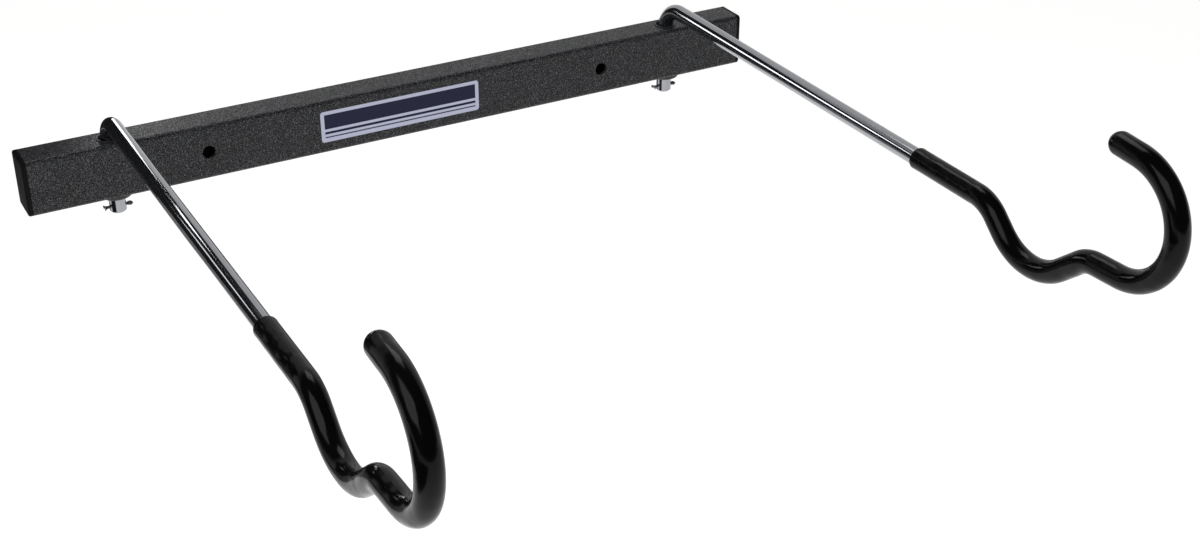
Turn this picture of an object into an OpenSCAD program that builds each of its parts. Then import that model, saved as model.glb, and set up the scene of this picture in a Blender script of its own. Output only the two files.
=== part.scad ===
// Wall-mounted bike hanger. A rectangular steel rail is screwed flat to a wall, and two plated rod
// arms stand out from it. Each arm swings on bushes in the rail and ends in a sleeved double hook.
// Frame: origin at the middle of the rail's back face, midway between the two wall screws.
// +X runs along the rail, +Z is up, +Y goes into the wall, and the arms reach towards -Y.

/* [Rail] */
// Length of the steel tube without its end caps
rail_l = 484; // [450:1:560]
// Height of the tube
rail_h = 35; // [30:0.5:45]
// Depth of the tube from the wall to its front face
rail_d = 23; // [22.5:0.5:35]
// Wall thickness of the tube
rail_wall = 2; // [1.5:0.1:2.5]
// Outer corner radius of the tube
rail_corner_r = 2.5; // [2.5:0.1:4]

/* [Wall screws] */
// Diameter of the two screw holes, drilled through the front and back walls
screw_hole_d = 8; // [6:0.5:10]
// Distance from the end of the tube to the screw near it
screw_inset = 107; // [85:1:130]

/* [Arms] */
// Diameter of the round rod
rod_d = 10; // [9:0.1:10.5]
// Distance from the end of the tube to the leg of the arm near it, about which the arm swings
leg_inset = 51; // [40:1:65]
// Height of the rod's centre line above the top of the rail
arm_rise = 14; // [13:0.5:22]
// Reach from the leg's centre line to the first bend of the hook
arm_run = 326; // [260:1:380]
// Centre-line radius of the bend over the leg
leg_bend_r = 18; // [14:0.5:18]
// Length of leg that shows below the rail
leg_tail = 13.2; // [10:0.2:20]
// Chamfer on the lower end of the leg
leg_chamfer = 1; // [0.5:0.1:2]

/* [Hooks] */
// Turn of the first bend, down from the arm
drop_turn = 42; // [35:1:48]
// Radius of the first bend
drop_r = 24; // [18:1:30]
// Straight length between the first bend and the small cradle
drop_run = 10; // [5:1:20]
// Turn of the small cradle, from down to up
cradle_turn = 82; // [75:1:88]
// Radius of the small cradle
cradle_r = 34; // [28:1:40]
// Straight length between the small cradle and the hump
climb_run = 16; // [10:1:24]
// Turn of the hump between the two cradles
hump_turn = 37; // [32:1:42]
// Radius of the hump
hump_r = 19; // [15:1:24]
// Straight length between the hump and the big hook
ledge_run = 16; // [10:1:24]
// Turn of the big hook, up and back towards the wall
curl_turn = 173; // [160:1:178]
// Radius of the big hook
curl_r = 33; // [28:1:38]
// Straight length at the hook's tip
tip_run = 12.5; // [8:0.5:18]

/* [Sleeves] */
// Wall thickness of the soft sleeve over the hook
sleeve_wall = 1.25; // [1:0.05:1.8]
// Length of sleeve on the straight arm before the first bend
sleeve_lead = 53; // [30:1:80]
// Height of the rolled lip at the start of the sleeve
lip_h = 0.5; // [0.2:0.1:1]
// Length of the rolled lip
lip_l = 3; // [2:0.1:5]

/* [Bushes] */
// Diameter of the flange under the rail
flange_d = 22; // [18:0.5:22.5]
// Thickness of the flange under the rail
flange_t = 4; // [2.5:0.1:5.5]
// Wall of the lower bush around its bore
lower_bush_wall = 1.9; // [1.4:0.1:2.4]
// Length of the lower bush inside the rail, from the outer face of the wall
lower_barrel_l = 12; // [9:0.5:13]
// Wall of the upper bush at its flared mouth
mouth_wall = 0.5; // [0.4:0.1:1.2]
// Length of the upper bush inside the rail, from the outer face of the wall
upper_barrel_l = 12; // [10:0.5:13]
// Thickness of the thin collar on top of the rail
collar_t = 0.6; // [0.4:0.1:0.6]
// Overhang of the thin collar around its hole
collar_w = 0.6; // [0.4:0.1:1.5]
// Height of the snap barb that holds each bush under the wall
barb_h = 0.5; // [0.3:0.1:0.8]
// Length of the snap barb along the bush
barb_l = 2.4; // [1.5:0.1:3]

/* [End caps] */
// Thickness of the cap outside the tube
cap_t = 3; // [2:0.1:5]
// Edge radius of the cap's outer face
cap_edge_r = 1.2; // [0.5:0.1:1.8]
// Depth of the plug inside the tube
plug_l = 16; // [14:0.5:24]
// Wall thickness of the hollow plug
plug_wall = 1.5; // [1:0.1:2]
// Number of grip ribs around the plug
rib_count = 4; // [2:1:4]
// Thickness of a grip rib
rib_t = 1; // [0.6:0.1:1.4]
// Height of a grip rib over the plug's wall
rib_h = 1.2; // [0.8:0.1:1.6]

/* [Split pins] */
// Diameter of the two legs of a split pin together
pin_d = 1.9; // [1.6:0.1:2.2]
// Height of the split pin above the lower end of the leg
pin_rise = 3.4; // [3:0.1:4]
// Outer diameter of the split pin's eye
pin_eye_d = 4; // [3.6:0.1:4.4]
// Straight length of the pin beyond the leg on the bent side
pin_out = 0.6; // [0.4:0.1:1.2]
// Radius of the bends that open the pin's two ends
pin_bend_r = 3; // [2.4:0.1:4]
// Turn of the bends that open the pin's two ends
pin_turn = 75; // [50:1:85]

/* [Hidden] */

// Clearances, each on the radius or on one side
bore_clear = 0.08;
hole_clear = 0.05;
sleeve_clear = 0.02;
plug_clear = 0.05;
pin_clear = 0.15;
mouth_clear = 0.35;
// Least depth of the flared mouth, where the rod bends above the rail
mouth_depth_min = 1;
// A rod's bend is this much thicker on the radius than its straight runs, which end a little way
// inside it. The split pin's bent ends are as much thinner than its shank.
bend_step = 0.04;
bend_lap = 0.4;
// How far a cutting shape runs past what it cuts
overrun = 1;
// Smallest inner corner radius of the tube
inner_corner_min = 0.5;
// Share of the flange's thickness that its rounded edge takes
flange_edge_share = 0.3;
// Share of a bush's wall that its lead-in chamfer takes
lead_in_share = 0.5;
// Share of the eye's section that the split pin's shank reaches into
eye_reach_share = 0.8;

$fa = 5;
$fs = 0.4;

// Places worked out from the sizes above
rail_y = -rail_d / 2;
rail_top = rail_h / 2;
rail_bottom = -rail_h / 2;
screw_x = rail_l / 2 - screw_inset;
leg_x = rail_l / 2 - leg_inset;
arm_z = rail_top + arm_rise;
leg_bottom = rail_bottom - leg_tail;
bend_start = arm_z - leg_bend_r;
leg_side = rod_d / 2;
bore_d = rod_d + 2 * bore_clear;
sleeve_d = rod_d + 2 * sleeve_wall;
sleeve_bore_d = rod_d + 2 * sleeve_clear;
inner_corner_r = max(rail_corner_r - rail_wall, inner_corner_min);
lower_barrel_d = bore_d + 2 * lower_bush_wall;

// Where the rod bends away from the leg's axis, the upper bush has to clear it at every angle of
// the arm. This is how far the inside of the bend lies from that axis, a height h above its start.
function bend_reach(h) = leg_bend_r - sqrt(pow(leg_bend_r - leg_side, 2) - pow(max(h, 0), 2));
mouth_depth = max(rail_top - bend_start, mouth_depth_min);
mouth_top_r = bend_reach(rail_top + collar_t - bend_start) + mouth_clear;
upper_barrel_d = 2 * (mouth_top_r + mouth_wall);

// The bends of an arm's hook, in order along the rod, after a straight run and up to the tip. Each
// step is a run, the turn at its end in degrees with up positive, and the radius of that turn.
function hook_steps(first_run, last_run) = [
    [first_run, -drop_turn, drop_r],
    [drop_run, cradle_turn, cradle_r],
    [climb_run, -hump_turn, hump_r],
    [ledge_run, curl_turn, curl_r],
    [last_run, 0, 0]
];

// A rectangle with round corners, centred, made of exact arcs
module rounded_rect(w, h, r) {
    square([w - 2 * r, h], center = true);
    square([w, h - 2 * r], center = true);
    for (x = [-1, 1], y = [-1, 1])
        translate([x * (w / 2 - r), y * (h / 2 - r)])
            circle(r = r);
}

// The tube's section stood up as a prism along +X
module rail_prism(l, w, h, r) {
    rotate([90, 0, 90])
        linear_extrude(l)
            rounded_rect(w, h, r);
}

// A round bar bent step by step in the XZ plane, from the origin along +X. A straight run laps a
// little way into the bends at its ends. What is given as a child is drawn at the far end.
module bent_bar(steps, d, i = 0) {
    if (i < len(steps)) {
        run = steps[i][0];
        turn = steps[i][1];
        r = steps[i][2];
        lap_in = i > 0 ? bend_lap : 0;
        lap_out = turn != 0 ? bend_lap : 0;
        translate([-lap_in, 0, 0])
            rotate([0, 90, 0])
                cylinder(h = lap_in + run + lap_out, d = d);
        translate([run, 0, sign(turn) * r]) {
            if (turn != 0)
                rotate([turn < 0 ? 180 : 0, 0, 0])
                    rotate([90, 90, 0])
                        rotate_extrude(angle = abs(turn))
                            translate([r, 0])
                                circle(r = d / 2 + bend_step);
            rotate([0, -turn, 0])
                translate([0, 0, -sign(turn) * r])
                    bent_bar(steps, d, i + 1)
                        children();
        }
    } else {
        children();
    }
}

// The leg's centre line at the level of the rail's middle, one side of the rail or the other
module at_leg(side) {
    translate([side * leg_x, rail_y, 0])
        children();
}

module rail_tube() {
    color("#3a3b3e")
        difference() {
            translate([-rail_l / 2, rail_y, 0])
                rail_prism(rail_l, rail_d, rail_h, rail_corner_r);
            translate([-rail_l / 2 - overrun, rail_y, 0])
                rail_prism(rail_l + 2 * overrun, rail_d - 2 * rail_wall, rail_h - 2 * rail_wall, inner_corner_r);
            for (side = [-1, 1]) {
                translate([side * screw_x, overrun, 0])
                    rotate([90, 0, 0])
                        cylinder(h = rail_d + 2 * overrun, d = screw_hole_d);
                at_leg(side) {
                    translate([0, 0, rail_top - rail_wall - overrun])
                        cylinder(h = rail_wall + 2 * overrun, d = upper_barrel_d + 2 * hole_clear);
                    translate([0, 0, rail_bottom - overrun])
                        cylinder(h = rail_wall + 2 * overrun, d = lower_barrel_d + 2 * hole_clear);
                }
            }
        }
}

// A moulded cap: a plate with rounded edges outside the tube, and a hollow ribbed plug inside it
module end_cap(side) {
    plug_w = rail_d - 2 * rail_wall - 2 * plug_clear;
    plug_h = rail_h - 2 * rail_wall - 2 * plug_clear;
    core_w = plug_w - 2 * rib_h;
    core_h = plug_h - 2 * rib_h;
    rib_pitch = (plug_l - rib_t) / rib_count;
    color("#1b1b1d")
        mirror([side < 0 ? 1 : 0, 0, 0])
            translate([rail_l / 2, rail_y, 0]) {
                hull()
                    for (a = [0, 30, 60, 90])
                        rail_prism(cap_t - cap_edge_r * (1 - sin(a)),
                                   rail_d - 2 * cap_edge_r * (1 - cos(a)),
                                   rail_h - 2 * cap_edge_r * (1 - cos(a)),
                                   rail_corner_r, $fn = 32);
                difference() {
                    union() {
                        translate([-plug_l, 0, 0])
                            rail_prism(plug_l, core_w, core_h, inner_corner_r);
                        for (i = [0 : rib_count - 1])
                            translate([-plug_l + i * rib_pitch, 0, 0])
                                rail_prism(rib_t, plug_w, plug_h, inner_corner_r);
                    }
                    translate([-plug_l - overrun, 0, 0])
                        rail_prism(plug_l + overrun, core_w - 2 * plug_wall, core_h - 2 * plug_wall, inner_corner_r);
                }
            }
}

// A snap barb around a barrel, with its square shoulder at z = 0 and its slope below
module barb(barrel_d) {
    rotate_extrude()
        polygon([
            [barrel_d / 2 - barb_h, 0],
            [barrel_d / 2 + barb_h, 0],
            [barrel_d / 2, -barb_l],
            [barrel_d / 2 - barb_h, -barb_l]
        ]);
}

// The upper bush drops into the rail's top wall. Its mouth flares to clear the bend of the rod.
module upper_bush(side) {
    collar_r = upper_barrel_d / 2 + collar_w;
    color("#141415")
        at_leg(side)
            translate([0, 0, rail_top])
                difference() {
                    union() {
                        cylinder(h = collar_t, r = collar_r);
                        translate([0, 0, -upper_barrel_l])
                            cylinder(h = upper_barrel_l, d = upper_barrel_d);
                        translate([0, 0, -rail_wall - hole_clear])
                            barb(upper_barrel_d);
                    }
                    translate([0, 0, -upper_barrel_l - overrun])
                        cylinder(h = upper_barrel_l + 2 * overrun, d = bore_d);
                    rotate_extrude()
                        polygon([
                            [0, -mouth_depth],
                            [bore_d / 2, -mouth_depth],
                            [mouth_top_r, collar_t],
                            [mouth_top_r, collar_t + overrun],
                            [0, collar_t + overrun]
                        ]);
                }
}

// The lower bush pushes up into the bottom wall, and its broad flange shows under the rail
module lower_bush(side) {
    flange_r = flange_d / 2;
    edge = flange_t * flange_edge_share;
    lead_in = (lower_barrel_d - bore_d) / 2 * lead_in_share;
    color("#141415")
        at_leg(side)
            translate([0, 0, rail_bottom])
                difference() {
                    union() {
                        rotate_extrude()
                            union() {
                                translate([0, -flange_t + edge])
                                    square([flange_r, flange_t - edge]);
                                translate([0, -flange_t])
                                    square([flange_r - edge, flange_t]);
                                translate([flange_r - edge, -flange_t + edge])
                                    circle(r = edge);
                            }
                        cylinder(h = lower_barrel_l - lead_in, d = lower_barrel_d);
                        translate([0, 0, lower_barrel_l - lead_in])
                            cylinder(h = lead_in, d1 = lower_barrel_d, d2 = lower_barrel_d - 2 * lead_in);
                        translate([0, 0, rail_wall + hole_clear])
                            mirror([0, 0, 1])
                                barb(lower_barrel_d);
                    }
                    translate([0, 0, -flange_t - overrun])
                        cylinder(h = flange_t + lower_barrel_l + 2 * overrun, d = bore_d);
                }
}

// One arm is a single bent rod: leg, bend, straight run and the double hook
module arm(side) {
    steps = concat([[bend_start - leg_bottom, -90, leg_bend_r]],
                   hook_steps(arm_run - leg_bend_r, tip_run));
    color("#c4c7cb")
        at_leg(side)
            translate([0, 0, leg_bottom])
                difference() {
                    rotate([0, -90, -90])
                        bent_bar(steps, rod_d);
                    rotate_extrude()
                        polygon([
                            [leg_side - leg_chamfer, 0],
                            [leg_side + overrun, leg_chamfer + overrun],
                            [leg_side + overrun, -overrun],
                            [leg_side - leg_chamfer, -overrun]
                        ]);
                    translate([-leg_side - overrun, 0, pin_rise])
                        rotate([0, 90, 0])
                            cylinder(h = rod_d + 2 * overrun, d = pin_d + 2 * pin_clear);
                }
}

// The soft sleeve follows the same bends as the rod inside it, from a thick lip to a domed tip
module sleeve(side) {
    lip_r = sleeve_d / 2 + lip_h;
    color("#0e0e0f")
        at_leg(side)
            rotate([0, 0, -90])
                translate([arm_run - sleeve_lead, 0, arm_z])
                    difference() {
                        union() {
                            bent_bar(hook_steps(sleeve_lead, tip_run + sleeve_clear), sleeve_d)
                                sphere(r = sleeve_d / 2 + bend_step);
                            rotate([0, 90, 0])
                                rotate_extrude()
                                    polygon([
                                        [leg_side, 0],
                                        [lip_r - lip_h, 0],
                                        [lip_r, lip_h],
                                        [lip_r, lip_l - lip_h],
                                        [lip_r - lip_h, lip_l],
                                        [leg_side, lip_l]
                                    ]);
                        }
                        translate([-overrun, 0, 0])
                            rotate([0, 90, 0])
                                cylinder(h = 2 * overrun, d = sleeve_bore_d);
                        bent_bar(hook_steps(sleeve_lead, tip_run + sleeve_clear), sleeve_bore_d);
                    }
}

// The upper half of a disc, as the section of a split pin's wire
module half_disc(r) {
    intersection() {
        circle(r = r);
        translate([-r, 0])
            square([2 * r, r]);
    }
}

// A split pin below the rail keeps the arm from lifting out. Its eye faces +X, its round shank goes
// through the leg along X, and beyond the leg its two half-round ends are bent apart along Y.
module split_pin(side) {
    wire_r = pin_d / 2;
    eye_r = pin_eye_d / 2;
    eye_x = leg_side + eye_r + pin_clear;
    shank_end = eye_x - eye_r + wire_r * eye_reach_share;
    color("#a9acb0")
        at_leg(side)
            translate([0, 0, leg_bottom + pin_rise]) {
                translate([eye_x, 0, 0])
                    rotate_extrude()
                        translate([eye_r - wire_r, 0])
                            rotate(-90)
                                half_disc(wire_r);
                translate([-leg_side - pin_out - bend_lap, 0, 0])
                    rotate([0, 90, 0])
                        cylinder(h = leg_side + pin_out + bend_lap + shank_end, r = wire_r);
                translate([-leg_side - pin_out, 0, 0])
                    for (flip = [0, 180])
                        rotate([flip, 0, 0])
                            translate([0, pin_bend_r, 0])
                                rotate(-90)
                                    mirror([0, 1, 0])
                                        rotate_extrude(angle = pin_turn)
                                            translate([pin_bend_r, 0])
                                                rotate(90)
                                                    half_disc(wire_r - bend_step);
            }
}

rail_tube();
end_cap(-1);  // left_end_cap
end_cap(1);  // right_end_cap
upper_bush(-1);  // left_upper_bush
upper_bush(1);  // right_upper_bush
lower_bush(-1);  // left_lower_bush
lower_bush(1);  // right_lower_bush
arm(-1);  // left_arm
arm(1);  // right_arm
sleeve(-1);  // left_sleeve
sleeve(1);  // right_sleeve
split_pin(-1);  // left_split_pin
split_pin(1);  // right_split_pin
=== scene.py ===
import math

import bmesh
import bpy
from mathutils import Matrix, Vector


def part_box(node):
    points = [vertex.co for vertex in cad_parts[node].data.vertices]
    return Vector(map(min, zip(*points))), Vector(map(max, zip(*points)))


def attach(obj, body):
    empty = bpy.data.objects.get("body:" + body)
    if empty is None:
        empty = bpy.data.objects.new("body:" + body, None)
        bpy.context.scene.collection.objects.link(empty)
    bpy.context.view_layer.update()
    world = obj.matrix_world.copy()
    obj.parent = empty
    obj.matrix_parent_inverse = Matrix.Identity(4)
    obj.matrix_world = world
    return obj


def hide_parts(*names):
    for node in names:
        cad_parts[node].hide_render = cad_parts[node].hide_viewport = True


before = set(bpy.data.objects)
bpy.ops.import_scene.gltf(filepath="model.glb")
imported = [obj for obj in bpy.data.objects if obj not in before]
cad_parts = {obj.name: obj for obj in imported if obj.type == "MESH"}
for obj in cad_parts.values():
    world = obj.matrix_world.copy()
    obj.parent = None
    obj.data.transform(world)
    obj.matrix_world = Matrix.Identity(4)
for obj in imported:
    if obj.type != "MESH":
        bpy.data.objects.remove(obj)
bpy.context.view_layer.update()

# The camera stands where the photograph was taken: in front and a little to
# the left of the wall rail, looking down on it. Its place came from fitting
# the outlines of the rail and the rods.
camera_place = Vector((-0.4018, -0.9866, 0.4595))
camera_turn, camera_tilt, camera_roll = (math.radians(a) for a in (29.104, 28.998, 0.156))
picture_width_px, focal_length_px, sensor_mm = 1200, 1779.85, 36.0

look = Vector((math.sin(camera_turn) * math.cos(camera_tilt),
               math.cos(camera_turn) * math.cos(camera_tilt),
               -math.sin(camera_tilt)))
level = Vector((math.cos(camera_turn), -math.sin(camera_turn), 0))
upward = level.cross(look)
right_hand = level * math.cos(camera_roll) + upward * math.sin(camera_roll)
overhead = upward * math.cos(camera_roll) - level * math.sin(camera_roll)

camera_data = bpy.data.cameras.new("photo_camera")
camera_data.sensor_width = sensor_mm
camera_data.lens = sensor_mm * focal_length_px / picture_width_px
camera_data.clip_start, camera_data.clip_end = 0.05, 50
camera = bpy.data.objects.new("photo_camera", camera_data)
camera.matrix_world = Matrix.LocRotScale(
    camera_place, Matrix((right_hand, overhead, -look)).transposed(), None)
bpy.context.scene.collection.objects.link(camera)
bpy.context.scene.camera = camera


# The studio: a pale floor well below the hanger, a white surround and softboxes. Plated steel and
# black vinyl need something dark to show their shape, so the room on the camera's side is dim and
# cloths hang out of sight: black behind the rail, grey below that, and black on the floor at the left.
def linear(hex_colour):
    """An sRGB hex colour as linear RGBA."""
    parts = [int(hex_colour[i:i + 2], 16) / 255 for i in (1, 3, 5)]
    return tuple(c / 12.92 if c <= 0.04045 else ((c + 0.055) / 1.055) ** 2.4 for c in parts) + (1,)


def add_node(tree, kind, inputs=None, **settings):
    """Adds one node, sets its properties, and sets or links its inputs by name or number."""
    node = tree.nodes.new(kind)
    for key, value in settings.items():
        setattr(node, key, value)
    for key, value in (inputs or {}).items():
        if isinstance(value, bpy.types.NodeSocket):
            tree.links.new(value, node.inputs[key])
        else:
            node.inputs[key].default_value = value
    return node


floor_drop, floor_size = 0.62, 12.0
floor_colour = "#f3f3f2"
floor_glow, surround_light, surround_in_metal = 0.4, 0.6, 0.7
room_light, room_direction = 0.05, Vector((-0.30, -0.75, 0.55)).normalized()
room_starts, room_full = -0.25, 0.1

bpy.ops.object.select_all(action="DESELECT")
bpy.ops.mesh.primitive_plane_add(size=floor_size, location=(0, 0, 0))
floor = bpy.context.object
floor.name = "studio_floor"
bpy.ops.object.mode_set(mode="EDIT")
bpy.ops.mesh.select_all(action="SELECT")
bpy.ops.transform.translate(value=(0, 0, -floor_drop))
bpy.ops.object.mode_set(mode="OBJECT")

floor_paint = bpy.data.materials.new("pale_floor")
floor_paint.use_nodes = True
tree = floor_paint.node_tree
tree.nodes.clear()
path = add_node(tree, "ShaderNodeLightPath")
seen = add_node(tree, "ShaderNodeMath",
                {0: path.outputs["Is Camera Ray"], 1: path.outputs["Is Glossy Ray"]}, operation="MAXIMUM")
seen = add_node(tree, "ShaderNodeMath",
                {0: seen.outputs[0], 1: path.outputs["Is Transmission Ray"]}, operation="MAXIMUM")
lift = add_node(tree, "ShaderNodeMath", {0: seen.outputs[0], 1: floor_glow}, operation="MULTIPLY")
matt = add_node(tree, "ShaderNodeBsdfDiffuse", {"Color": linear(floor_colour)})
glow = add_node(tree, "ShaderNodeEmission", {"Color": (1, 1, 1, 1), "Strength": lift.outputs[0]})
both = add_node(tree, "ShaderNodeAddShader", {0: matt.outputs[0], 1: glow.outputs[0]})
add_node(tree, "ShaderNodeOutputMaterial", {"Surface": both.outputs[0]})
floor.data.materials.append(floor_paint)

world = bpy.data.worlds.new("white_surround")
bpy.context.scene.world = world
world.use_nodes = True
tree = world.node_tree
tree.nodes.clear()
path = add_node(tree, "ShaderNodeLightPath")
for_light = add_node(tree, "ShaderNodeBackground", {"Color": (1, 1, 1, 1), "Strength": surround_light})
place = add_node(tree, "ShaderNodeTexCoord")
toward_room = add_node(tree, "ShaderNodeVectorMath",
                       {0: place.outputs["Generated"], 1: room_direction}, operation="DOT_PRODUCT")
dimming = add_node(tree, "ShaderNodeMapRange",
                   {"Value": toward_room.outputs["Value"], "From Min": room_starts, "From Max": room_full,
                    "To Min": surround_in_metal, "To Max": room_light}, interpolation_type="SMOOTHSTEP")
in_gloss = add_node(tree, "ShaderNodeBackground",
                    {"Color": (1, 1, 1, 1), "Strength": dimming.outputs["Result"]})
in_view = add_node(tree, "ShaderNodeBackground", {"Color": (1, 1, 1, 1), "Strength": 1.0})
gloss = add_node(tree, "ShaderNodeMath",
                 {0: path.outputs["Is Glossy Ray"], 1: path.outputs["Is Transmission Ray"]},
                 operation="MAXIMUM")
lit = add_node(tree, "ShaderNodeMixShader",
               {0: gloss.outputs[0], 1: for_light.outputs[0], 2: in_gloss.outputs[0]})
shown = add_node(tree, "ShaderNodeMixShader",
                 {0: path.outputs["Is Camera Ray"], 1: lit.outputs[0], 2: in_view.outputs[0]})
add_node(tree, "ShaderNodeOutputWorld", {"Surface": shown.outputs[0]})

black_cloth, grey_cloth = "#2c2c2d", "#9a9a9a"
rear_y, rear_foot, cloth_edge = 0.85, -0.2, 1e-3


def hidden_cloth(name, low, high, upright, colour):
    """A cloth between two corners that only shows in what shines."""
    bpy.ops.object.select_all(action="DESELECT")
    bpy.ops.mesh.primitive_plane_add(size=1, location=(0, 0, 0))
    cloth = bpy.context.object
    cloth.name = name
    bpy.ops.object.mode_set(mode="EDIT")
    bpy.ops.mesh.select_all(action="SELECT")
    if upright:
        bpy.ops.transform.rotate(value=math.radians(90), orient_axis="X", center_override=(0, 0, 0))
    size = Vector(high) - Vector(low)
    bpy.ops.transform.resize(value=[max(side, cloth_edge) for side in size])
    bpy.ops.transform.translate(value=(Vector(low) + Vector(high)) / 2)
    bpy.ops.object.mode_set(mode="OBJECT")
    cloth.visible_camera = cloth.visible_shadow = cloth.visible_diffuse = False
    velvet = bpy.data.materials.new(name + "_velvet")
    velvet.use_nodes = True
    velvet.node_tree.nodes.clear()
    matt = add_node(velvet.node_tree, "ShaderNodeBsdfDiffuse", {"Color": linear(colour)})
    add_node(velvet.node_tree, "ShaderNodeOutputMaterial", {"Surface": matt.outputs[0]})
    cloth.data.materials.append(velvet)
    return cloth


hidden_cloth("rear_flag", (-1.15, rear_y, rear_foot), (0.06, rear_y, 0.85), True, black_cloth)
hidden_cloth("low_flag", (-1.6, rear_y + 0.01, -0.6), (1.4, rear_y + 0.01, rear_foot), True, grey_cloth)

# A small shield keeps the edge softbox out of the left rod near the rail. It is the only cloth that
# casts a shadow, because nothing else shuts that light out.
left_shield = hidden_cloth("left_shield", (-0.33, 0.12, -0.04), (-0.17, 0.12, 0.19), True, black_cloth)
left_shield.visible_shadow = True
hidden_cloth("floor_flag", (-2.8, -2.6, -0.6), (-0.95, 0.3, -0.6), False, black_cloth)


def soft_light(name, place, aim, width, height, lean, watts):
    """A softbox at a place, turned to face a point and leaning by some degrees."""
    lamp = bpy.data.lights.new(name, "AREA")
    lamp.shape, lamp.size, lamp.size_y, lamp.energy = "RECTANGLE", width, height, watts
    box = bpy.data.objects.new(name, lamp)
    box.matrix_world = Matrix.LocRotScale(
        Vector(place), (Vector(aim) - Vector(place)).to_track_quat("-Z", "Y"), None
    ) @ Matrix.Rotation(math.radians(lean), 4, "Z")
    box.visible_camera = False
    bpy.context.scene.collection.objects.link(box)


soft_light("left_softbox", (-1.0, -0.85, 0.95), (0, -0.2, 0), 1.2, 1.0, 0, 8)
soft_light("overhead_softbox", (0.3, 0.5, 1.5), (0, -0.1, 0), 0.8, 0.8, 0, 5.5)
soft_light("edge_softbox", (-0.165, 0.25, 0.182), (0.19, -0.2, 0.03), 0.26, 0.09, 22, 0.32)
soft_light("small_softbox", (-0.42, 0.25, 0.22), (-0.19, -0.2, 0.03), 0.12, 0.06, 36, 0.045)

bpy.context.scene.view_settings.view_transform = "Standard"

# The wall rail: a length of rectangular steel tube with rolled corners,
# drilled through for two wall screws and for the legs of the arms, then
# powder coated in a dark hammertone.
rail_low, rail_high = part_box("rail_tube")
rail_corner, rail_wall, corner_steps = 0.0025, 0.002, 6
leg_x, rail_middle_y = 0.191, (rail_low.y + rail_high.y) / 2
screw_x, screw_radius = 0.135, 0.004
upper_hole_radius, lower_hole_radius = 0.00674, 0.00703
drill_reach = 0.03
hole_edge = 0.0003


def pick(mesh, edges=None, faces=None):
    """In edit mode, selects only the edges or the faces that pass a test."""
    bpy.ops.mesh.select_all(action="DESELECT")
    bpy.ops.mesh.select_mode(type="FACE" if faces else "EDGE")
    shape = bmesh.from_edit_mesh(mesh)
    for part in (shape.faces if faces else shape.edges):
        part.select = (faces or edges)(part)
    shape.select_flush_mode()
    bmesh.update_edit_mesh(mesh)


def drill(piece, middle, along, radius, reach):
    """Cuts a round hole through a piece, with a drill of many flats."""
    bpy.ops.object.select_all(action="DESELECT")
    bpy.ops.mesh.primitive_cylinder_add(vertices=64, radius=radius, depth=2 * reach, location=middle,
                                        rotation=Vector(along).to_track_quat("Z", "Y").to_euler())
    bit = bpy.context.object
    cut = piece.modifiers.new("hole", "BOOLEAN")
    cut.operation, cut.solver, cut.object = "DIFFERENCE", "EXACT", bit
    bpy.context.view_layer.objects.active = piece
    bpy.ops.object.modifier_apply(modifier=cut.name)
    bpy.data.objects.remove(bit)


bpy.ops.object.select_all(action="DESELECT")
bpy.ops.mesh.primitive_cube_add(size=1, location=(0, 0, 0))
rail = bpy.context.object
rail.name = "steel_rail"
rail_size = rail_high - rail_low
bpy.ops.object.mode_set(mode="EDIT")
bpy.ops.transform.resize(value=rail_size)
bpy.ops.transform.translate(value=(rail_low + rail_high) / 2)
pick(rail.data, edges=lambda e: abs(e.verts[0].co.x - e.verts[1].co.x) > rail_size.x / 2)
bpy.ops.mesh.bevel(offset=rail_corner, segments=corner_steps)
pick(rail.data, faces=lambda f: abs(f.normal.x) > 0.9)
bpy.ops.mesh.delete(type="FACE")
bpy.ops.object.mode_set(mode="OBJECT")
tube_wall = rail.modifiers.new("wall", "SOLIDIFY")
tube_wall.thickness, tube_wall.offset, tube_wall.use_even_offset = rail_wall, -1, True
bpy.ops.object.modifier_apply(modifier=tube_wall.name)
for side in (-1, 1):
    drill(rail, (side * screw_x, rail_middle_y, 0), (0, 1, 0), screw_radius, drill_reach)
    drill(rail, (side * leg_x, rail_middle_y, rail_high.z), (0, 0, 1), upper_hole_radius, rail_wall * 2)
    drill(rail, (side * leg_x, rail_middle_y, rail_low.z), (0, 0, 1), lower_hole_radius, rail_wall * 2)


def on_screw_hole_edge(edge):
    """True for the rim of a screw hole on the outside of the tube."""
    outside = all(min(abs(v.co.y - rail_low.y), abs(v.co.y - rail_high.y)) < 1e-5 for v in edge.verts)
    return outside and all(
        abs(math.hypot(abs(v.co.x) - screw_x, v.co.z) - screw_radius) < 5e-5 for v in edge.verts)


bpy.ops.object.mode_set(mode="EDIT")
pick(rail.data, edges=on_screw_hole_edge)
bpy.ops.mesh.bevel(offset=hole_edge, segments=2)
bpy.ops.object.mode_set(mode="OBJECT")
bpy.ops.object.shade_smooth_by_angle(angle=math.radians(25))

# Hammertone powder coat on steel: the skin pulls together as it bakes into dimples with shiny, winding
# ridges between them. The ridges are about a millimetre apart, just coarse enough to show. Their pale
# colour is painted sheen, and the dark colour of the dimples is painted shade; the relief itself is real
# bump.
ridge_mm, mottle_mm = 0.95, 14.0
hammertone = bpy.data.materials.new("hammertone_powder_coat")
hammertone.use_nodes = True
tree = hammertone.node_tree
coat = tree.nodes["Principled BSDF"]
where = add_node(tree, "ShaderNodeTexCoord")
swirl = add_node(tree, "ShaderNodeTexNoise",
                 {"Vector": where.outputs["Object"], "Scale": 1000 / ridge_mm, "Detail": 1.0,
                  "Roughness": 0.5})
off_middle = add_node(tree, "ShaderNodeMath", {0: swirl.outputs["Fac"], 1: 0.5}, operation="SUBTRACT")
ridge = add_node(tree, "ShaderNodeMath", {0: off_middle.outputs[0]}, operation="ABSOLUTE")
mottle = add_node(tree, "ShaderNodeTexNoise",
                  {"Vector": where.outputs["Object"], "Scale": 1000 / mottle_mm, "Detail": 2.0})
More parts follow.
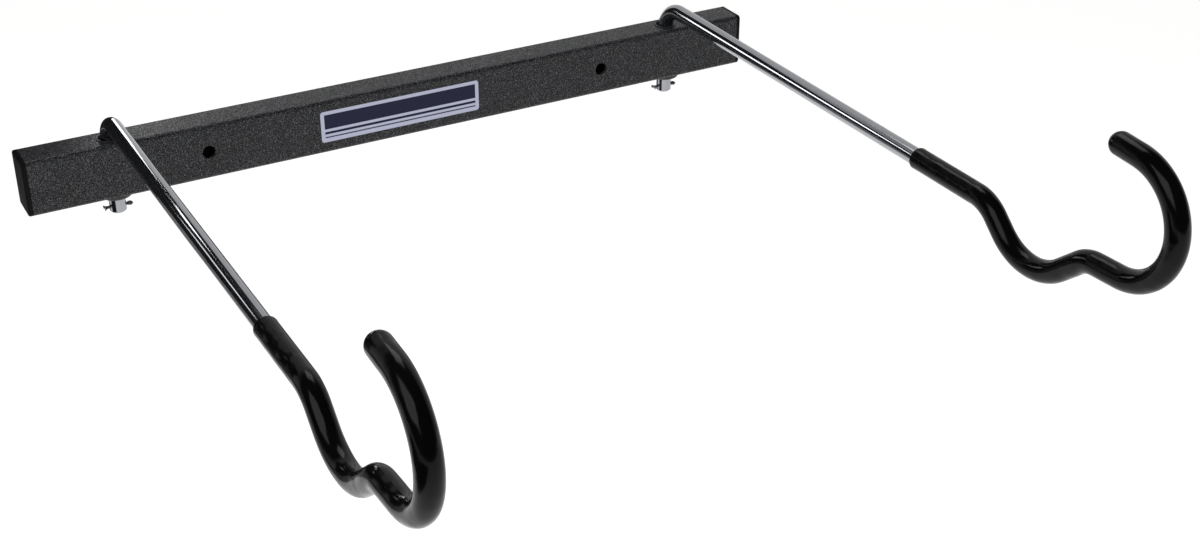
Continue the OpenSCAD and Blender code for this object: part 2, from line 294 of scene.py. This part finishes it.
spread = add_node(tree, "ShaderNodeMapRange",
                  {"Value": mottle.outputs["Fac"], "To Min": 0.85, "To Max": 1.15})
depth = add_node(tree, "ShaderNodeMath",
                 {0: ridge.outputs[0], 1: spread.outputs["Result"]}, operation="MULTIPLY")
# Painted light: the pale ridge lines are painted sheen, and the dark dimples are painted shade.
shade = add_node(tree, "ShaderNodeValToRGB", {"Fac": depth.outputs[0]})
shade.color_ramp.elements[0].position = 0.0
shade.color_ramp.elements[0].color = linear("#75767b")
shade.color_ramp.elements[1].position = 0.037
shade.color_ramp.elements[1].color = linear("#040405")
gloss_map = add_node(tree, "ShaderNodeMapRange",
                     {"Value": ridge.outputs[0], "From Min": 0.0, "From Max": 0.15,
                      "To Min": 0.34, "To Max": 0.6})
relief = add_node(tree, "ShaderNodeBump",
                  {"Height": ridge.outputs[0], "Strength": 0.5, "Distance": -0.0006})
tree.links.new(shade.outputs["Color"], coat.inputs["Base Color"])
tree.links.new(gloss_map.outputs["Result"], coat.inputs["Roughness"])
tree.links.new(relief.outputs["Normal"], coat.inputs["Normal"])
coat.inputs["Metallic"].default_value = 0.25
coat.inputs["Specular IOR Level"].default_value = 0.38
rail.data.materials.append(hammertone)
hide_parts("rail_tube")
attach(rail, "rail")

# The label: a strip of printed vinyl film stuck on the rail's front between the screw holes. It is
# left without words: a blank navy panel and two rules on a pale lilac ground.
label_size, label_middle = Vector((0.108, 0.00015, 0.0205)), Vector((-0.0095, 0, 0.0002))
label_corner = 0.0018
bpy.ops.object.select_all(action="DESELECT")
bpy.ops.mesh.primitive_cube_add(size=1, location=(0, 0, 0))
label = bpy.context.object
label.name = "blank_label"
bpy.ops.object.mode_set(mode="EDIT")
bpy.ops.transform.resize(value=label_size)
bpy.ops.transform.translate(value=label_middle + Vector((0, rail_low.y - label_size.y / 2, 0)))
pick(label.data, edges=lambda e: abs(e.verts[0].co.y - e.verts[1].co.y) > label_size.y / 2)
bpy.ops.mesh.bevel(offset=label_corner, segments=5)
bpy.ops.object.mode_set(mode="OBJECT")
bpy.ops.object.shade_smooth_by_angle(angle=math.radians(30))
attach(label, "rail")

# Printed vinyl film: flat ink under a clear satin coat, so it is even in colour and a little shiny.
label_vinyl = bpy.data.materials.new("printed_vinyl_film")
label_vinyl.use_nodes = True
tree = label_vinyl.node_tree
film = tree.nodes["Principled BSDF"]
where = add_node(tree, "ShaderNodeTexCoord")
axes = add_node(tree, "ShaderNodeSeparateXYZ", {"Vector": where.outputs["Object"]})


def printed(tree, across, middle, half):
    """One where a coordinate lies within a printed area, else nought."""
    off = add_node(tree, "ShaderNodeMath", {0: across, 1: middle}, operation="SUBTRACT")
    far = add_node(tree, "ShaderNodeMath", {0: off.outputs[0]}, operation="ABSOLUTE")
    return add_node(tree, "ShaderNodeMath", {0: far.outputs[0], 1: half}, operation="LESS_THAN").outputs[0]


label_margin = 0.0024
ink = printed(tree, axes.outputs["X"], label_middle.x, label_size.x / 2 - label_margin)
rows = [(0.0032, 0.0048), (-0.0042, 0.0008), (-0.0071, 0.0004)]
bands = [printed(tree, axes.outputs["Z"], label_middle.z + height, half) for height, half in rows]
for band in bands[1:]:
    bands[0] = add_node(tree, "ShaderNodeMath", {0: bands[0], 1: band}, operation="MAXIMUM").outputs[0]
ink = add_node(tree, "ShaderNodeMath", {0: ink, 1: bands[0]}, operation="MULTIPLY")
shade = add_node(tree, "ShaderNodeValToRGB", {"Fac": ink.outputs[0]})
shade.color_ramp.elements[0].color = linear("#c3c5dc")
shade.color_ramp.elements[1].color = linear("#0c0e35")
tree.links.new(shade.outputs["Color"], film.inputs["Base Color"])
film.inputs["Roughness"].default_value = 0.5
film.inputs["Specular IOR Level"].default_value = 0.3
label.data.materials.append(label_vinyl)

# The end caps: moulded black plastic plugs pushed into the open ends of the
# tube. The outer plate has rounded edges, and ribs grip the tube inside.
cap_plate, cap_edge = 0.003, 0.0012
plug_gap, plug_wall, plug_depth = 0.00205, 0.0015, 0.016
rib_run, rib_count, rib_height = 0.001, 4, 0.0012

bpy.ops.object.select_all(action="DESELECT")
bpy.ops.mesh.primitive_cube_add(size=1, location=(0, 0, 0))
right_cap = bpy.context.object
right_cap.name = "right_cap"
bpy.ops.object.mode_set(mode="EDIT")
bpy.ops.transform.resize(value=(cap_plate, rail_size.y, rail_size.z))
bpy.ops.transform.translate(value=(rail_high.x + cap_plate / 2, rail_middle_y, 0))
pick(right_cap.data, edges=lambda e: abs(e.verts[0].co.x - e.verts[1].co.x) > cap_plate / 2)
bpy.ops.mesh.bevel(offset=rail_corner, segments=corner_steps)
pick(right_cap.data, edges=lambda e: all(v.co.x > rail_high.x + cap_plate * 0.9 for v in e.verts))
bpy.ops.mesh.bevel(offset=cap_edge, segments=4)
pick(right_cap.data, faces=lambda f: f.normal.x < -0.9)
bpy.ops.mesh.inset(thickness=plug_gap)
plug = Vector((rail_size.y, rail_size.z)) - 2 * Vector((plug_gap, plug_gap))


def step_in(plug, depth, long_way):
    """Steps the plug's outline in by a depth, or out where it is negative, runs on, gives its new size."""
    smaller = plug - 2 * Vector((depth, depth))
    bpy.ops.mesh.extrude_region_move()
    bpy.ops.transform.resize(value=(1, smaller.x / plug.x, smaller.y / plug.y),
                             center_override=(0, rail_middle_y, 0))
    bpy.ops.mesh.extrude_region_move(TRANSFORM_OT_translate={"value": (long_way, 0, 0)})
    return smaller


rib_pitch = (plug_depth - rib_run) / rib_count
for _ in range(rib_count):
    plug = step_in(plug, rib_height, rib_run - rib_pitch)
    plug = step_in(plug, -rib_height, -rib_run)
plug = step_in(plug, rib_height + plug_wall, plug_depth - plug_wall)
bpy.ops.object.mode_set(mode="OBJECT")
bpy.ops.object.shade_smooth_by_angle(angle=math.radians(35))

# Injection-moulded polyethylene, black: a fine spark-eroded grain makes it satin, never quite flat.
grain_mm = 0.6
moulded_black = bpy.data.materials.new("moulded_black_polyethylene")
moulded_black.use_nodes = True
tree = moulded_black.node_tree
plastic = tree.nodes["Principled BSDF"]
where = add_node(tree, "ShaderNodeTexCoord")
grain = add_node(tree, "ShaderNodeTexNoise",
                 {"Vector": where.outputs["Object"], "Scale": 1000 / grain_mm, "Detail": 3.0})
shade = add_node(tree, "ShaderNodeValToRGB", {"Fac": grain.outputs["Fac"]})
shade.color_ramp.elements[0].color = linear("#030303")
shade.color_ramp.elements[1].color = linear("#0a0a0b")
dull = add_node(tree, "ShaderNodeMapRange",
                {"Value": grain.outputs["Fac"], "To Min": 0.5, "To Max": 0.66})
relief = add_node(tree, "ShaderNodeBump",
                  {"Height": grain.outputs["Fac"], "Strength": 0.2, "Distance": 0.0001})
tree.links.new(shade.outputs["Color"], plastic.inputs["Base Color"])
tree.links.new(dull.outputs["Result"], plastic.inputs["Roughness"])
tree.links.new(relief.outputs["Normal"], plastic.inputs["Normal"])
plastic.inputs["Specular IOR Level"].default_value = 0.12
right_cap.data.materials.append(moulded_black)


def twin(piece, name, mirrored):
    """A copy with its own mesh, mirrored to the other end or moved from the left leg to the right one."""
    bpy.ops.object.select_all(action="DESELECT")
    piece.select_set(True)
    bpy.context.view_layer.objects.active = piece
    bpy.ops.object.duplicate()
    other = bpy.context.object
    other.name = name
    bpy.ops.object.mode_set(mode="EDIT")
    bpy.ops.mesh.select_all(action="SELECT")
    if mirrored:
        bpy.ops.transform.mirror(constraint_axis=(True, False, False), center_override=(0, 0, 0))
        bpy.ops.mesh.normals_make_consistent(inside=False)
    else:
        bpy.ops.transform.translate(value=(2 * leg_x, 0, 0))
    bpy.ops.object.mode_set(mode="OBJECT")
    return other


left_cap = twin(right_cap, "left_cap", True)
for cap, node in ((left_cap, "left_end_cap"), (right_cap, "right_end_cap")):
    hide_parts(node)
    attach(cap, "rail")

# The bushes: turned nylon sleeves on which the legs swing. The upper one has
# a thin collar and a flared mouth for the bend of the rod, the lower one a
# broad flange under the rail. Both snap into the walls of the tube.
bore, lathe_steps = 0.00508, 96
collar, flare, flare_depth, top_barrel, collar_edge = 0.00729, 0.00619, 0.004, 0.00669, 0.00025
flange, flange_depth, foot_barrel, flange_edge, foot_taper = 0.0098, 0.0024, 0.00698, 0.0012, 0.0009
snap, snap_gap, snap_run = 0.0005, 0.0001, 0.0025
leg_axis = Vector((-leg_x, rail_middle_y, 0))


def turned(name, outline, rounded, radius):
    """Spins an outline of radius and height about the left leg. Its rounded corners go by number."""
    bpy.ops.object.select_all(action="DESELECT")
    bpy.ops.mesh.primitive_plane_add(size=0.001, location=(0, 0, 0))
    piece = bpy.context.object
    piece.name = name
    bpy.ops.object.mode_set(mode="EDIT")
    bpy.ops.mesh.select_mode(type="VERT")
    bpy.ops.mesh.select_all(action="SELECT")
    bpy.ops.mesh.merge(type="CENTER")
    bpy.ops.transform.translate(value=leg_axis + Vector((outline[0][0], 0, outline[0][1])))
    for here, there in zip(outline, outline[1:] + outline[:1]):
        step = (there[0] - here[0], 0, there[1] - here[1])
        bpy.ops.mesh.extrude_region_move(TRANSFORM_OT_translate={"value": step})
    bpy.ops.mesh.select_all(action="SELECT")
    bpy.ops.mesh.remove_doubles(threshold=1e-6)
    bpy.ops.mesh.select_all(action="DESELECT")
    shape = bmesh.from_edit_mesh(piece.data)
    spots = [leg_axis + Vector((outline[i][0], 0, outline[i][1])) for i in rounded]
    for v in shape.verts:
        v.select = any((v.co - spot).length < 1e-6 for spot in spots)
    shape.select_flush_mode()
    bmesh.update_edit_mesh(piece.data)
    bpy.ops.mesh.bevel(offset=radius, segments=5, affect="VERTICES")
    bpy.ops.mesh.select_all(action="SELECT")
    bpy.ops.mesh.spin(steps=lathe_steps, angle=2 * math.pi, center=leg_axis, axis=(0, 0, 1))
    bpy.ops.mesh.select_all(action="SELECT")
    bpy.ops.mesh.remove_doubles(threshold=1e-6)
    bpy.ops.mesh.normals_make_consistent(inside=False)
    bpy.ops.object.mode_set(mode="OBJECT")
    bpy.ops.object.shade_smooth_by_angle(angle=math.radians(35))
    return piece


# Black nylon, polished by the leg's own rubbing: smoother and a little greyer than the caps, with
# faint scuffs.
scuff_mm = 2.5
nylon = bpy.data.materials.new("black_nylon")
nylon.use_nodes = True
tree = nylon.node_tree
plastic = tree.nodes["Principled BSDF"]
where = add_node(tree, "ShaderNodeTexCoord")
scuff = add_node(tree, "ShaderNodeTexNoise",
                 {"Vector": where.outputs["Object"], "Scale": 1000 / scuff_mm, "Detail": 5.0})
shade = add_node(tree, "ShaderNodeValToRGB", {"Fac": scuff.outputs["Fac"]})
shade.color_ramp.elements[0].color = linear("#18181a")
shade.color_ramp.elements[1].color = linear("#2a2b2d")
dull = add_node(tree, "ShaderNodeMapRange",
                {"Value": scuff.outputs["Fac"], "To Min": 0.3, "To Max": 0.48})
relief = add_node(tree, "ShaderNodeBump",
                  {"Height": scuff.outputs["Fac"], "Strength": 0.15, "Distance": 0.0002})
tree.links.new(shade.outputs["Color"], plastic.inputs["Base Color"])
tree.links.new(dull.outputs["Result"], plastic.inputs["Roughness"])
tree.links.new(relief.outputs["Normal"], plastic.inputs["Normal"])

bush_low, bush_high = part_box("left_upper_bush")
top, under_wall = rail_high.z, rail_high.z - rail_wall - snap_gap
top_bush = turned("left_top_bush", [
    (bore, bush_low.z), (bore, top - flare_depth), (flare, bush_high.z), (collar, bush_high.z),
    (collar, top), (top_barrel, top), (top_barrel, under_wall), (top_barrel + snap, under_wall),
    (top_barrel, under_wall - snap_run), (top_barrel, bush_low.z)], (2, 3), collar_edge)
bush_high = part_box("left_lower_bush")[1]
foot, over_wall = rail_low.z, rail_low.z + rail_wall + snap_gap
flange_bush = turned("left_flange_bush", [
    (bore, foot - flange_depth), (flange, foot - flange_depth), (flange, foot), (foot_barrel, foot),
    (foot_barrel, over_wall), (foot_barrel + snap, over_wall), (foot_barrel, over_wall + snap_run),
    (foot_barrel, bush_high.z - foot_taper), (foot_barrel - foot_taper, bush_high.z),
    (bore, bush_high.z)], (1,), flange_edge)
for bush, level_word, node_word in ((top_bush, "top", "upper"), (flange_bush, "flange", "lower")):
    bush.data.materials.append(nylon)
    other_bush = twin(bush, "right_" + level_word + "_bush", False)
    for piece, word in ((bush, "left"), (other_bush, "right")):
        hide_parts(word + "_" + node_word + "_bush")
        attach(piece, "rail")

# The arms: each one a single length of bright zinc-plated steel rod, bent
# cold: up out of the rail, over, straight out, and into the double hook.
rod = 0.005
arm_height, leg_bottom, leg_bend = 0.0315, -0.0307, 0.0195
arm_reach = 0.326
leg_chamfer = 0.001
hook_bends = [(-42, 0.024, 0.010), (82, 0.034, 0.016), (-37, 0.019, 0.016), (173, 0.033, 0.0125)]
around, degrees_a_step = 64, 3.0


def spot_of(mesh):
    """The middle of what is selected in edit mode."""
    places = [v.co for v in bmesh.from_edit_mesh(mesh).verts if v.select]
    return sum(places, Vector()) / len(places)


def start_ring(name, radius, middle, heading):
    """A ring of points square to a heading, left selected in edit mode."""
    bpy.ops.object.select_all(action="DESELECT")
    bpy.ops.mesh.primitive_circle_add(vertices=around, radius=radius, location=(0, 0, 0))
    piece = bpy.context.object
    piece.name = name
    bpy.ops.object.mode_set(mode="EDIT")
    bpy.ops.mesh.select_all(action="SELECT")
    if abs(heading.z) < 0.5:
        bpy.ops.transform.rotate(value=math.radians(90), orient_axis="X", center_override=(0, 0, 0))
    bpy.ops.transform.translate(value=middle)
    return piece


def run_on(heading, length):
    """Pulls the selected ring straight on."""
    bpy.ops.mesh.extrude_region_move(TRANSFORM_OT_translate={"value": heading * length})


def bend_on(piece, heading, turn, radius):
    """Bends the selected ring round in the arm's own plane, up or down, and gives the new heading."""
    toward = Matrix.Rotation(math.radians(90 if turn > 0 else -90), 3, (-1, 0, 0)) @ heading
    centre = spot_of(piece.data) + toward * radius
    steps = max(4, round(abs(turn) / degrees_a_step))
    bpy.ops.mesh.spin(steps=steps, angle=math.radians(abs(turn)), center=centre,
                      axis=(1 if turn > 0 else -1, 0, 0))
    return Matrix.Rotation(math.radians(turn), 3, (-1, 0, 0)) @ heading


def follow_hook(piece, heading):
    """The four bends of the hook and the runs after them."""
    for turn, radius, run in hook_bends:
        heading = bend_on(piece, heading, turn, radius)
        run_on(heading, run)
    return heading


up = Vector((0, 0, 1))
left_arm = start_ring("left_rod", rod - leg_chamfer, leg_axis + up * leg_bottom, up)
run_on(up, leg_chamfer)
bpy.ops.transform.resize(value=(rod / (rod - leg_chamfer),) * 2 + (1,),
                         center_override=leg_axis + up * leg_bottom)
run_on(up, arm_height - leg_bend - leg_bottom - leg_chamfer)
heading = bend_on(left_arm, up, -90, leg_bend)
run_on(heading, arm_reach - leg_bend)
follow_hook(left_arm, heading)
pick(left_arm.data, edges=lambda e: e.is_boundary)
bpy.ops.mesh.edge_face_add()
bpy.ops.mesh.select_all(action="SELECT")
bpy.ops.mesh.normals_make_consistent(inside=False)
bpy.ops.object.mode_set(mode="OBJECT")
bpy.ops.object.shade_smooth_by_angle(angle=math.radians(30))

# Bright zinc plate over cold-drawn steel: a mirror at first sight, but a little milky, with faint
# clouds where the plate is thicker and the fine grain of the steel under it.
cloud_mm, steel_grain_mm = 9.0, 0.5
zinc = bpy.data.materials.new("bright_zinc_plate")
zinc.use_nodes = True
tree = zinc.node_tree
metal = tree.nodes["Principled BSDF"]
metal.inputs["Metallic"].default_value = 1.0
where = add_node(tree, "ShaderNodeTexCoord")
clouds = add_node(tree, "ShaderNodeTexNoise",
                  {"Vector": where.outputs["Object"], "Scale": 1000 / cloud_mm, "Detail": 3.0})
fine = add_node(tree, "ShaderNodeTexNoise",
                {"Vector": where.outputs["Object"], "Scale": 1000 / steel_grain_mm, "Detail": 2.0})
shade = add_node(tree, "ShaderNodeValToRGB", {"Fac": clouds.outputs["Fac"]})
shade.color_ramp.elements[0].color = linear("#96989c")
shade.color_ramp.elements[1].color = linear("#a8aaae")
dull = add_node(tree, "ShaderNodeMapRange",
                {"Value": clouds.outputs["Fac"], "To Min": 0.06, "To Max": 0.12})
relief = add_node(tree, "ShaderNodeBump",
                  {"Height": fine.outputs["Fac"], "Strength": 0.03, "Distance": 0.0001})
tree.links.new(shade.outputs["Color"], metal.inputs["Base Color"])
tree.links.new(dull.outputs["Result"], metal.inputs["Roughness"])
tree.links.new(relief.outputs["Normal"], metal.inputs["Normal"])
left_arm.data.materials.append(zinc)
right_arm = twin(left_arm, "right_rod", False)
for arm, word in ((left_arm, "left"), (right_arm, "right")):
    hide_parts(word + "_arm")
    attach(arm, word + "_swing_arm")

# The sleeves: soft black PVC drawn over each hook so that it can't mark a
# bicycle's paint. They start in a rounded edge and close over the tip in a dome.
sleeve = 0.00625
sleeve_lead = 0.0515
lip_height, lip_run, lip_steps = 0.0001, 0.003, 8
dome_steps = 12


def swell_to(piece, radius, was):
    """Grows or shrinks the selected ring to a radius and gives it back."""
    bpy.ops.transform.resize(value=(radius / was,) * 3, center_override=spot_of(piece.data))
    return radius


out = Vector((0, -1, 0))
left_sleeve = start_ring("left_hook_sleeve", rod,
                         leg_axis + out * (arm_reach - sleeve_lead) + up * arm_height, out)
bpy.ops.mesh.edge_face_add()
size, went = rod, 0.0
for i in range(1, lip_steps + 1):
    angle = math.pi / 2 * i / lip_steps
    run_on(out, lip_run / 2 * (1 - math.cos(angle)) - went)
    went = lip_run / 2 * (1 - math.cos(angle))
    size = swell_to(left_sleeve, rod + (sleeve + lip_height - rod) * math.sin(angle), size)
run_on(out, lip_run / 2)
size = swell_to(left_sleeve, sleeve, size)
run_on(out, sleeve_lead - lip_run)
heading = follow_hook(left_sleeve, out)
went = 0.0
for i in range(1, dome_steps):
    angle = math.pi / 2 * i / dome_steps
    run_on(heading, sleeve * math.sin(angle) - went)
    went = sleeve * math.sin(angle)
    size = swell_to(left_sleeve, sleeve * math.cos(angle), size)
run_on(heading, sleeve - went)
bpy.ops.mesh.merge(type="CENTER")
bpy.ops.mesh.select_all(action="SELECT")
bpy.ops.mesh.normals_make_consistent(inside=False)
bpy.ops.object.mode_set(mode="OBJECT")
bpy.ops.object.shade_smooth_by_angle(angle=math.radians(40))

# Plasticised PVC, black: glossy as it comes off the mandrel, but never quite true, so the long
# highlights wander. Handling leaves patches that are slightly duller.
ripple_mm, patch_mm = 11.0, 16.0
soft_vinyl = bpy.data.materials.new("soft_black_pvc")
soft_vinyl.use_nodes = True
tree = soft_vinyl.node_tree
vinyl = tree.nodes["Principled BSDF"]
where = add_node(tree, "ShaderNodeTexCoord")
patches = add_node(tree, "ShaderNodeTexNoise",
                   {"Vector": where.outputs["Object"], "Scale": 1000 / patch_mm, "Detail": 4.0})
ripple = add_node(tree, "ShaderNodeTexNoise",
                  {"Vector": where.outputs["Object"], "Scale": 1000 / ripple_mm, "Detail": 1.0})
shade = add_node(tree, "ShaderNodeValToRGB", {"Fac": patches.outputs["Fac"]})
shade.color_ramp.elements[0].color = linear("#020202")
shade.color_ramp.elements[1].color = linear("#070708")
dull = add_node(tree, "ShaderNodeMapRange",
                {"Value": patches.outputs["Fac"], "To Min": 0.1, "To Max": 0.2})
relief = add_node(tree, "ShaderNodeBump",
                  {"Height": ripple.outputs["Fac"], "Strength": 0.4, "Distance": 0.0012})
vinyl.inputs["Specular IOR Level"].default_value = 0.15
tree.links.new(shade.outputs["Color"], vinyl.inputs["Base Color"])
tree.links.new(dull.outputs["Result"], vinyl.inputs["Roughness"])
tree.links.new(relief.outputs["Normal"], vinyl.inputs["Normal"])
left_sleeve.data.materials.append(soft_vinyl)
right_sleeve = twin(left_sleeve, "right_hook_sleeve", False)
for cover, word in ((left_sleeve, "left"), (right_sleeve, "right")):
    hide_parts(word + "_sleeve")
    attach(cover, word + "_swing_arm")

# The split pins: half-round steel wire folded to an eye, pushed through each
# leg below the rail and bent open, so that the arm can't lift out. The CAD's own meshes are kept.

# Drawn steel wire: scratched all over and left bare, so it is greyer and duller than the plated rod.
scratch_mm = 0.4
wire = bpy.data.materials.new("drawn_steel_wire")
wire.use_nodes = True
tree = wire.node_tree
metal = tree.nodes["Principled BSDF"]
metal.inputs["Metallic"].default_value = 1.0
where = add_node(tree, "ShaderNodeTexCoord")
scratch = add_node(tree, "ShaderNodeTexNoise",
                   {"Vector": where.outputs["Object"], "Scale": 1000 / scratch_mm, "Detail": 3.0})
shade = add_node(tree, "ShaderNodeValToRGB", {"Fac": scratch.outputs["Fac"]})
shade.color_ramp.elements[0].color = linear("#5c5e61")
shade.color_ramp.elements[1].color = linear("#838588")
dull = add_node(tree, "ShaderNodeMapRange",
                {"Value": scratch.outputs["Fac"], "To Min": 0.25, "To Max": 0.42})
tree.links.new(shade.outputs["Color"], metal.inputs["Base Color"])
tree.links.new(dull.outputs["Result"], metal.inputs["Roughness"])
for word in ("left", "right"):
    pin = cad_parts[word + "_split_pin"]
    pin.data.materials.clear()
    pin.data.materials.append(wire)
